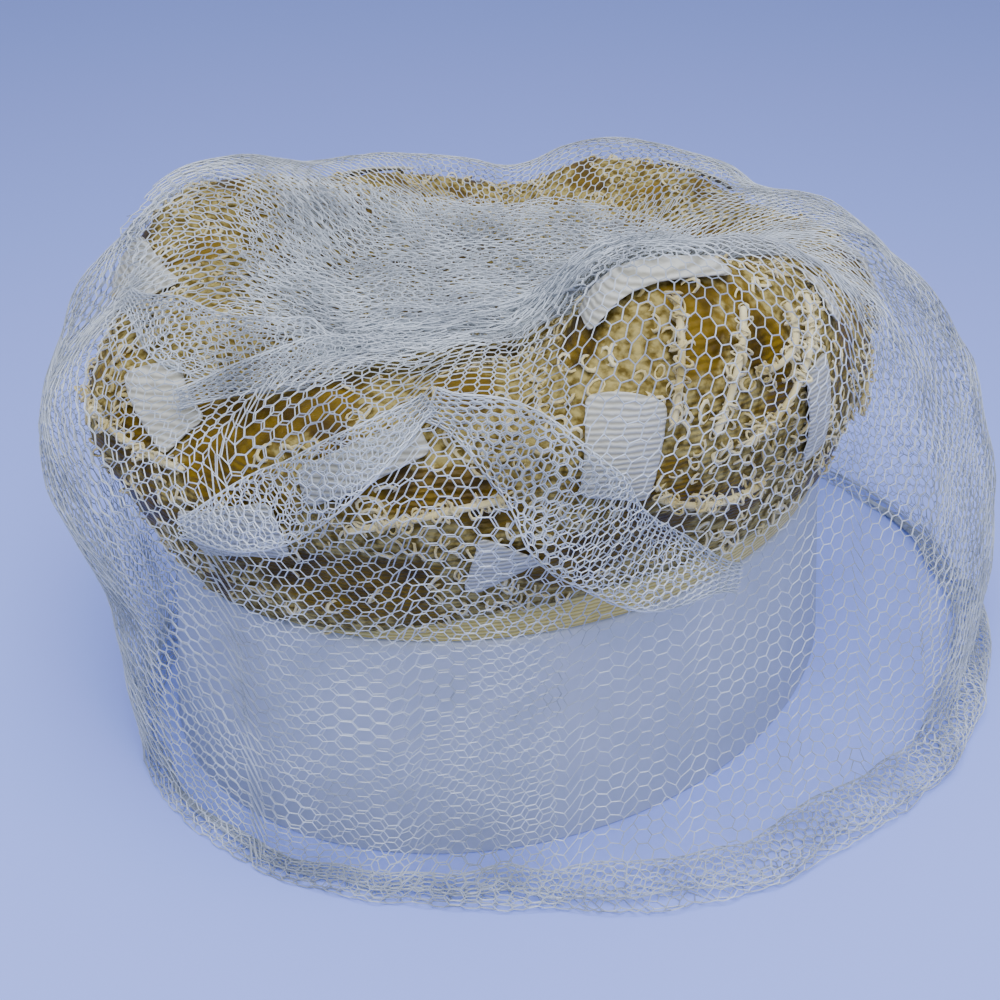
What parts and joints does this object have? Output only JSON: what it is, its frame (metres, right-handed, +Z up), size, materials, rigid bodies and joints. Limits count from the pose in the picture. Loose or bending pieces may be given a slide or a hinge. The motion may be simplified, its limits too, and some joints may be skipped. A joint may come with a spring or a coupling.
{
  "type": "pillbox hat with net veil on an oval hat stand",
  "caption": "Puffed fancy-straw pillbox hat with a dished top, cream tapes and looped cords, under a draped hexagonal net veil, on a plain oval stand",
  "frame": {"origin": "centre of the stand's flat underside, on the surface that it stands on", "axes": "+Z up; +Y runs to the back of the head oval, along its long axis; +X to the wearer's left"},
  "size_m": [0.2307, 0.2591, 0.1349],
  "materials": {
    "stand": "plain white moulded plastic, smooth and slightly soft in its sheen",
    "band": "pale gold ribbed headband ribbon",
    "straw": "translucent ochre straw cloth with cream looped thread",
    "tape": "flat cream synthetic straw tape with a fine rib",
    "gimp": "cream looped cord",
    "net": "white hexagonal veiling net"
  },
  "bodies": {
    "root": {"stand": "stand", "headband": "band", "crown_side": "straw", "crown_tip": "straw", "tape_front_big": "tape", "tape_front_point": "tape", "tape_crest_long": "tape", "tape_right_end": "tape", "tape_right_curl": "tape", "tape_left_low": "tape", "tape_left_high": "tape", "tape_left_mid": "tape", "tape_slant": "tape", "tape_back_1": "tape", "tape_back_2": "tape", "tape_back_3": "tape", "tape_back_4": "tape", "tape_back_5": "tape", "tape_back_6": "tape", "tape_back_7": "tape", "gimp_puff_1": "gimp", "gimp_puff_2": "gimp", "gimp_arc_inner": "gimp", "gimp_arc_outer": "gimp", "gimp_puff_foot": "gimp", "gimp_front_arc": "gimp", "gimp_left_arc": "gimp", "gimp_left_curl": "gimp", "gimp_left_line": "gimp", "gimp_back_arc_1": "gimp", "gimp_back_arc_2": "gimp", "gimp_back_arc_3": "gimp", "gimp_back_arc_4": "gimp", "veil_cap": "net", "veil_left": "net", "veil_back": "net", "veil_right": "net", "veil_front": "net"}
  },
  "joints": []
}
